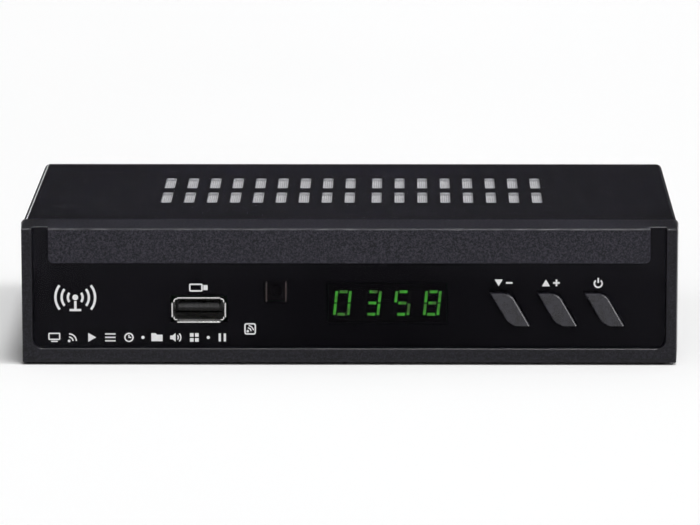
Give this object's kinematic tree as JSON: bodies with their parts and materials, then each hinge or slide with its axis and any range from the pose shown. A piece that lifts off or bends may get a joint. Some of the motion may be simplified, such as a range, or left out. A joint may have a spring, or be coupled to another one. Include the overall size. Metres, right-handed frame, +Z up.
{
  "type": "terrestrial tv receiver",
  "caption": "Slim television receiver box: smoked front window with lit digits, leaf-shaped push buttons and a data port, slotted steel cover, rear aerial, video and power sockets.",
  "frame": {"origin": "on the table under the middle of the whole footprint, rear sockets included", "axes": "+X to the viewer's right along the front panel, +Y from the front panel to the rear sockets, +Z up"},
  "size_m": [0.1716, 0.1094, 0.0356],
  "materials": {
    "panel_plastic": "fine spark-eroded texture",
    "lens_plastic": "smoked clear, polished",
    "button_plastic": "fine satin texture",
    "chip_plastic": "moulded epoxy",
    "switch_metal": "tinned",
    "board_laminate": "green solder mask",
    "display_plastic": "matt black",
    "lit_plastic": "diffusing, lit green",
    "unlit_plastic": "diffusing, unlit",
    "sensor_plastic": "dark infrared-pass",
    "tin_plate": "tinned sheet",
    "nickel_plate": "bright nickel plate",
    "socket_plastic": "moulded",
    "contact_metal": "gold flash",
    "screw_steel": "zinc plate",
    "black_screw_steel": "black oxide",
    "painted_steel": "black powder coat, satin",
    "zinc_steel": "zinc plate",
    "white_film": "milky film",
    "foot_rubber": "matt",
    "pad_rubber": "soft pad",
    "sink_metal": "extruded",
    "capacitor_film": "shrink sleeve",
    "ferrite": "sintered",
    "insulator_plastic": "ivory"
  },
  "bodies": {
    "receiver": {"front_panel": "panel_plastic", "front_lens": "lens_plastic", "down_switch": "switch_metal", "up_switch": "switch_metal", "power_switch": "switch_metal", "display_board": "board_laminate", "display_module": "display_plastic", "lit_segments": "lit_plastic", "dark_segments": "unlit_plastic", "remote_sensor": "sensor_plastic", "sensor_shield": "tin_plate", "data_port_sleeve": "nickel_plate", "data_port_tongue": "socket_plastic", "data_port_contacts": "contact_metal", "display_driver": "chip_plastic", "display_board_screws": "screw_steel", "link_pins": "contact_metal", "link_socket": "socket_plastic", "top_cover": "painted_steel", "vent_screen": "white_film", "base_tray": "zinc_steel", "cover_screws": "black_screw_steel", "panel_screws": "screw_steel", "front_left_foot": "foot_rubber", "front_right_foot": "foot_rubber", "rear_left_foot": "foot_rubber", "rear_right_foot": "foot_rubber", "main_board": "board_laminate", "board_screws": "screw_steel", "processor": "chip_plastic", "thermal_pad": "pad_rubber", "heat_sink": "sink_metal", "memory_chips": "chip_plastic", "clock_crystal": "tin_plate", "capacitors": "capacitor_film", "inductors": "ferrite", "tuner_can": "tin_plate", "tuner_lid": "tin_plate", "aerial_in_sleeve": "nickel_plate", "aerial_in_insulator": "insulator_plastic", "aerial_in_contact": "nickel_plate", "aerial_out_sleeve": "nickel_plate", "aerial_out_insulator": "insulator_plastic", "aerial_out_pin": "nickel_plate", "video_port_sleeve": "nickel_plate", "video_port_tongue": "socket_plastic", "av_socket_housing": "socket_plastic", "av_socket_contacts": "nickel_plate", "power_jack_body": "socket_plastic", "power_jack_pin": "nickel_plate"},
    "down_key": {"down_button": "button_plastic", "down_plunger": "chip_plastic"},
    "up_key": {"up_button": "button_plastic", "up_plunger": "chip_plastic"},
    "power_key": {"power_button": "button_plastic", "power_plunger": "chip_plastic"}
  },
  "joints": [
    {"name": "down_press", "type": "slide", "parent": "receiver", "child": "down_key", "axis": [0, 1, 0], "range_m": [0, 0.0005], "stiffness_N_per_m": 800},
    {"name": "up_press", "type": "slide", "parent": "receiver", "child": "up_key", "axis": [0, 1, 0], "range_m": [0, 0.0005], "stiffness_N_per_m": 800},
    {"name": "power_press", "type": "slide", "parent": "receiver", "child": "power_key", "axis": [0, 1, 0], "range_m": [0, 0.0005], "stiffness_N_per_m": 800}
  ]
}
